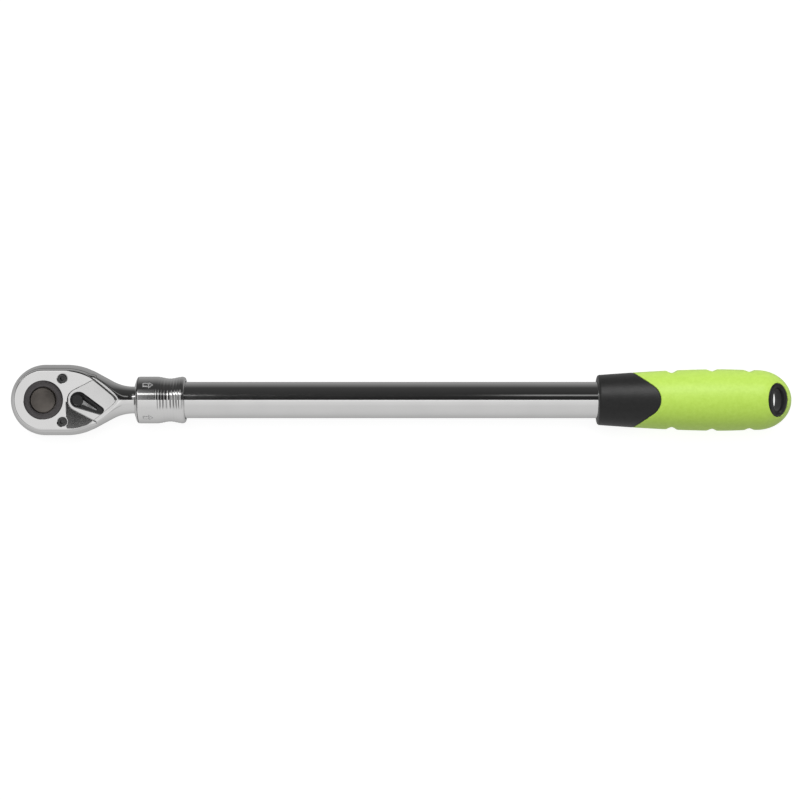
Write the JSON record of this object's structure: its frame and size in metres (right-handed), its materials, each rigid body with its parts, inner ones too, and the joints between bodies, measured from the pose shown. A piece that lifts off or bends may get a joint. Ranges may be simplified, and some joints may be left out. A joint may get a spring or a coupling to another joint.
{
  "type": "ratchet wrench",
  "caption": "Telescopic reversible ratchet wrench with a square drive, a pear-shaped chrome head, a sliding lock collar, a chrome tube and a two-colour grip with a hanging hole.",
  "frame": {"origin": "middle of the drive square's end face, on the drive axis", "axes": "+X along the handle from the head to the grip; +Z along the drive axis, from the square to the release button; the wrench is closed at rest"},
  "size_m": [0.4719, 0.0426, 0.0424],
  "materials": {
    "polished_chrome": "bright polished plating",
    "mirror_chrome": "mirror plating",
    "tube_chrome": "bright drawn tube",
    "gear_steel": "satin phosphated steel",
    "button_steel": "satin",
    "black_steel": "black oxide",
    "ball_steel": "ground and polished",
    "spring_steel": "bright spring wire",
    "lever_black": "satin black",
    "seal_rubber": "matte",
    "bush_plastic": "natural acetal",
    "grip_black": "soft-touch, fine speckle",
    "grip_green": "soft-touch, fine speckle"
  },
  "bodies": {
    "head": {"head_body": "polished_chrome", "cover_plate": "mirror_chrome", "cover_screws": "black_steel", "extension_bar": "polished_chrome", "stop_bush": "bush_plastic", "stop_screw": "black_steel"},
    "drive": {"drive_gear": "gear_steel", "release_spring": "spring_steel"},
    "button": {"release_button": "button_steel"},
    "detent": {"detent_ball": "ball_steel"},
    "lever": {"reverse_lever": "lever_black", "lever_seal": "seal_rubber", "lever_clip": "spring_steel", "pawl_spring": "spring_steel"},
    "pawl": {"pawl": "gear_steel"},
    "plunger": {"pawl_plunger": "ball_steel"},
    "handle": {"outer_tube": "tube_chrome", "lock_cage": "gear_steel", "nose_cap": "polished_chrome", "collar_spring": "spring_steel", "grip_core": "grip_black", "grip_nose": "grip_black", "grip_sleeve": "grip_green"},
    "collar": {"release_collar": "polished_chrome"},
    "lock_1": {"lock_ball_1": "ball_steel"},
    "lock_2": {"lock_ball_2": "ball_steel"},
    "lock_3": {"lock_ball_3": "ball_steel"}
  },
  "joints": [
    {"name": "drive_spin", "type": "hinge", "parent": "head", "child": "drive", "pos_m": [0, 0, 0.02], "axis": [0, 0, 1], "continuous": true},
    {"name": "button_press", "type": "slide", "parent": "drive", "child": "button", "axis": [0, 0, -1], "range_m": [0, 0.003], "stiffness_N_per_m": 1200, "springref_m": -0.003, "deforming": ["release_spring"]},
    {"name": "detent_slide", "type": "slide", "parent": "drive", "child": "detent", "axis": [0, 1, 0], "range_m": [0, 0.001]},
    {"name": "lever_turn", "type": "hinge", "parent": "head", "child": "lever", "pos_m": [0.0212, 0, 0.02], "axis": [0, 0, 1], "range_deg": [0, 53]},
    {"name": "pawl_rock", "type": "hinge", "parent": "head", "child": "pawl", "pos_m": [0.0212, 0, 0.02], "axis": [0, 0, 1], "range_deg": [-10, 0]},
    {"name": "plunger_slide", "type": "slide", "parent": "lever", "child": "plunger", "axis": [0.8949, -0.4462, 0], "range_m": [0, 0.0006], "stiffness_N_per_m": 800, "springref_m": -0.0015, "deforming": ["pawl_spring"]},
    {"name": "extension_slide", "type": "slide", "parent": "head", "child": "handle", "axis": [1, 0, 0], "range_m": [0, 0.15]},
    {"name": "collar_slide", "type": "slide", "parent": "handle", "child": "collar", "axis": [1, 0, 0], "range_m": [0, 0.006], "stiffness_N_per_m": 500, "springref_m": -0.008, "deforming": ["collar_spring"]},
    {"name": "lock_slide_1", "type": "slide", "parent": "handle", "child": "lock_1", "axis": [0, 0, 1], "range_m": [0, 0.0014]},
    {"name": "lock_slide_2", "type": "slide", "parent": "handle", "child": "lock_2", "axis": [0, -0.866, -0.5], "range_m": [0, 0.0014]},
    {"name": "lock_slide_3", "type": "slide", "parent": "handle", "child": "lock_3", "axis": [0, 0.866, -0.5], "range_m": [0, 0.0014]}
  ],
  "couplings": [
    {"joint": "detent_slide", "follows": "button_press", "ratio": 0.333},
    {"joint": "pawl_rock", "follows": "lever_turn", "ratio": -0.1886},
    {"joint": "lock_slide_1", "follows": "collar_slide", "ratio": 0.23},
    {"joint": "lock_slide_2", "follows": "collar_slide", "ratio": 0.23},
    {"joint": "lock_slide_3", "follows": "collar_slide", "ratio": 0.23}
  ]
}
